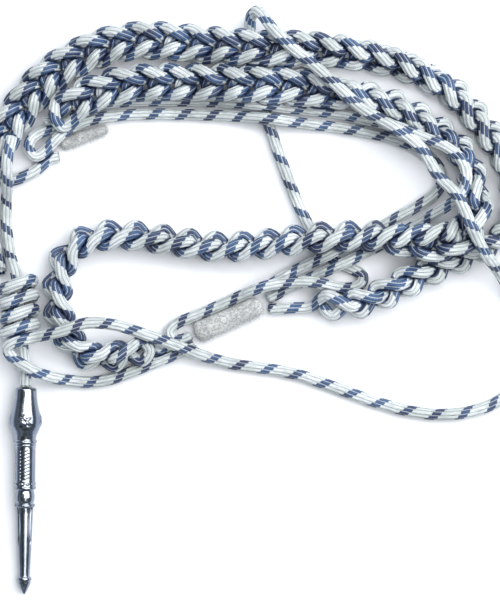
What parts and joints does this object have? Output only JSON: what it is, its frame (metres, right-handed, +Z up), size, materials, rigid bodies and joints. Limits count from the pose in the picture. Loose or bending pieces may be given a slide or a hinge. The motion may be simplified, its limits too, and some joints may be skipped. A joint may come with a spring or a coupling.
{
  "type": "aiguillette",
  "caption": "Aiguillette of silver and blue cord: chain-stitched braids and plain cords, looped back between two sleeves, with a barrel knot and a turned metal tag.",
  "frame": {"origin": "on the surface that the aiguillette lies on, under the middle of the braids, knot, tag and sleeves", "axes": "X to the right and Y up the layout as it is seen from above, with the tag's point towards -Y; Z up from the surface"},
  "size_m": [0.2095, 0.2161, 0.0262],
  "materials": {
    "cord": "silver-white solid-braided cord with a spiral of blue tracer dashes",
    "metal": "polished silver-coloured metal, engraved",
    "felt": "pale grey fuzzy felt"
  },
  "bodies": {
    "root": {"braid_outer_upper": "cord", "braid_outer_lower": "cord", "braid_inner_upper": "cord", "braid_inner_lower": "cord", "knot": "cord", "loop_cord": "cord", "front_cord": "cord", "hanging_cord": "cord", "winding_cord": "cord", "tag": "metal", "shoulder_sleeve": "felt", "front_sleeve": "felt"}
  },
  "joints": []
}
